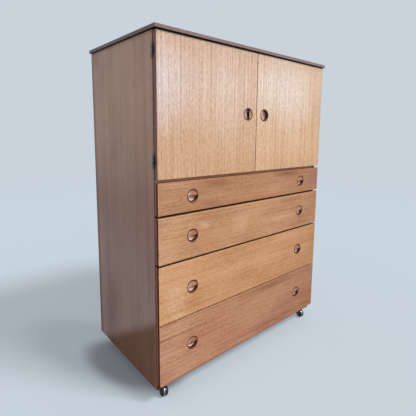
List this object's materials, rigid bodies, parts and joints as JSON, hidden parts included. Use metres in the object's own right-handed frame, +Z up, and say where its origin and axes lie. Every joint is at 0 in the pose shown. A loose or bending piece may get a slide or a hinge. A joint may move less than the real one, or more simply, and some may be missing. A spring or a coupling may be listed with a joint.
{
  "type": "chifforobe",
  "caption": "Upright wooden chifforobe: a cupboard with a pair of doors over graduated drawers, with turned recessed handles, on small castors.",
  "frame": {"origin": "on the floor, under the middle of the top board", "axes": "+Z up, the doors and drawer fronts face -Y, +X to the right of someone facing them"},
  "size_m": [0.876, 0.489, 1.2101],
  "materials": {
    "side_veneer": "satin teak veneer, grain upright",
    "top_veneer": "satin dark teak",
    "door_veneer": "satin teak veneer, grain upright",
    "drawer_veneer": "satin teak veneer, grain level",
    "inner_board": "thin oil on board",
    "hardboard": "raw hardboard",
    "drawer_timber": "bare beech",
    "runner_timber": "bare timber",
    "turned_timber": "polished, turned",
    "hinge_steel": "dulled plate",
    "catch_plastic": "moulded",
    "castor_plate": "bright plate",
    "castor_black": "moulded"
  },
  "bodies": {
    "carcass": {"side_panel_left": "side_veneer", "side_panel_right": "side_veneer", "top_board": "top_veneer", "bottom_board": "inner_board", "divider_board": "inner_board", "shelf": "inner_board", "back_panel": "hardboard", "shelf_bearer_left": "inner_board", "shelf_bearer_right": "inner_board", "door_catch": "catch_plastic", "hinge_upper_left_carcass_leaf": "hinge_steel", "hinge_lower_left_carcass_leaf": "hinge_steel", "hinge_upper_right_carcass_leaf": "hinge_steel", "hinge_lower_right_carcass_leaf": "hinge_steel", "runner_1_left": "runner_timber", "runner_1_right": "runner_timber", "runner_2_left": "runner_timber", "runner_2_right": "runner_timber", "runner_3_left": "runner_timber", "runner_3_right": "runner_timber", "runner_4_left": "runner_timber", "runner_4_right": "runner_timber"},
    "left_door": {"door_left": "door_veneer", "door_handle_left": "turned_timber", "hinge_upper_left_door_leaf": "hinge_steel", "hinge_lower_left_door_leaf": "hinge_steel"},
    "right_door": {"door_right": "door_veneer", "door_handle_right": "turned_timber", "hinge_upper_right_door_leaf": "hinge_steel", "hinge_lower_right_door_leaf": "hinge_steel"},
    "drawer_1": {"drawer_1_front": "drawer_veneer", "drawer_1_box": "drawer_timber", "drawer_1_bottom": "hardboard", "drawer_1_handle_left": "turned_timber", "drawer_1_handle_right": "turned_timber"},
    "drawer_2": {"drawer_2_front": "drawer_veneer", "drawer_2_box": "drawer_timber", "drawer_2_bottom": "hardboard", "drawer_2_handle_left": "turned_timber", "drawer_2_handle_right": "turned_timber"},
    "drawer_3": {"drawer_3_front": "drawer_veneer", "drawer_3_box": "drawer_timber", "drawer_3_bottom": "hardboard", "drawer_3_handle_left": "turned_timber", "drawer_3_handle_right": "turned_timber"},
    "drawer_4": {"drawer_4_front": "drawer_veneer", "drawer_4_box": "drawer_timber", "drawer_4_bottom": "hardboard", "drawer_4_handle_left": "turned_timber", "drawer_4_handle_right": "turned_timber"},
    "castor_front_left_swivel": {"castor_front_left_hood": "castor_plate"},
    "castor_front_left_wheel_pair": {"castor_front_left_wheels": "castor_black"},
    "castor_front_right_swivel": {"castor_front_right_hood": "castor_plate"},
    "castor_front_right_wheel_pair": {"castor_front_right_wheels": "castor_black"},
    "castor_rear_left_swivel": {"castor_rear_left_hood": "castor_plate"},
    "castor_rear_left_wheel_pair": {"castor_rear_left_wheels": "castor_black"},
    "castor_rear_right_swivel": {"castor_rear_right_hood": "castor_plate"},
    "castor_rear_right_wheel_pair": {"castor_rear_right_wheels": "castor_black"}
  },
  "joints": [
    {"name": "left_door_hinge", "type": "hinge", "parent": "carcass", "child": "left_door", "pos_m": [-0.43319, -0.219, 0.9765], "axis": [0, 0, -1], "range_deg": [0, 180]},
    {"name": "right_door_hinge", "type": "hinge", "parent": "carcass", "child": "right_door", "pos_m": [0.43319, -0.219, 0.9765], "axis": [0, 0, 1], "range_deg": [0, 180]},
    {"name": "drawer_1_slide", "type": "slide", "parent": "carcass", "child": "drawer_1", "axis": [0, -1, 0], "range_m": [0, 0.33]},
    {"name": "drawer_2_slide", "type": "slide", "parent": "carcass", "child": "drawer_2", "axis": [0, -1, 0], "range_m": [0, 0.33]},
    {"name": "drawer_3_slide", "type": "slide", "parent": "carcass", "child": "drawer_3", "axis": [0, -1, 0], "range_m": [0, 0.33]},
    {"name": "drawer_4_slide", "type": "slide", "parent": "carcass", "child": "drawer_4", "axis": [0, -1, 0], "range_m": [0, 0.33]},
    {"name": "castor_front_left_turn", "type": "hinge", "parent": "carcass", "child": "castor_front_left_swivel", "pos_m": [-0.393, -0.1955, 0.043], "axis": [0, 0, 1], "continuous": true},
    {"name": "castor_front_left_roll", "type": "hinge", "parent": "castor_front_left_swivel", "child": "castor_front_left_wheel_pair", "pos_m": [-0.39507, -0.20323, 0.017], "axis": [0.9659, -0.2588, 0], "continuous": true},
    {"name": "castor_front_right_turn", "type": "hinge", "parent": "carcass", "child": "castor_front_right_swivel", "pos_m": [0.393, -0.1955, 0.043], "axis": [0, 0, 1], "continuous": true},
    {"name": "castor_front_right_roll", "type": "hinge", "parent": "castor_front_right_swivel", "child": "castor_front_right_wheel_pair", "pos_m": [0.39147, -0.20335, 0.017], "axis": [0.9816, -0.1908, 0], "continuous": true},
    {"name": "castor_rear_left_turn", "type": "hinge", "parent": "carcass", "child": "castor_rear_left_swivel", "pos_m": [-0.393, 0.2045, 0.043], "axis": [0, 0, 1], "continuous": true},
    {"name": "castor_rear_left_roll", "type": "hinge", "parent": "castor_rear_left_swivel", "child": "castor_rear_left_wheel_pair", "pos_m": [-0.389, 0.21143, 0.017], "axis": [-0.866, 0.5, 0], "continuous": true},
    {"name": "castor_rear_right_turn", "type": "hinge", "parent": "carcass", "child": "castor_rear_right_swivel", "pos_m": [0.393, 0.2045, 0.043], "axis": [0, 0, 1], "continuous": true},
    {"name": "castor_rear_right_roll", "type": "hinge", "parent": "castor_rear_right_swivel", "child": "castor_rear_right_wheel_pair", "pos_m": [0.38962, 0.21175, 0.017], "axis": [-0.9063, -0.4226, 0], "continuous": true}
  ]
}
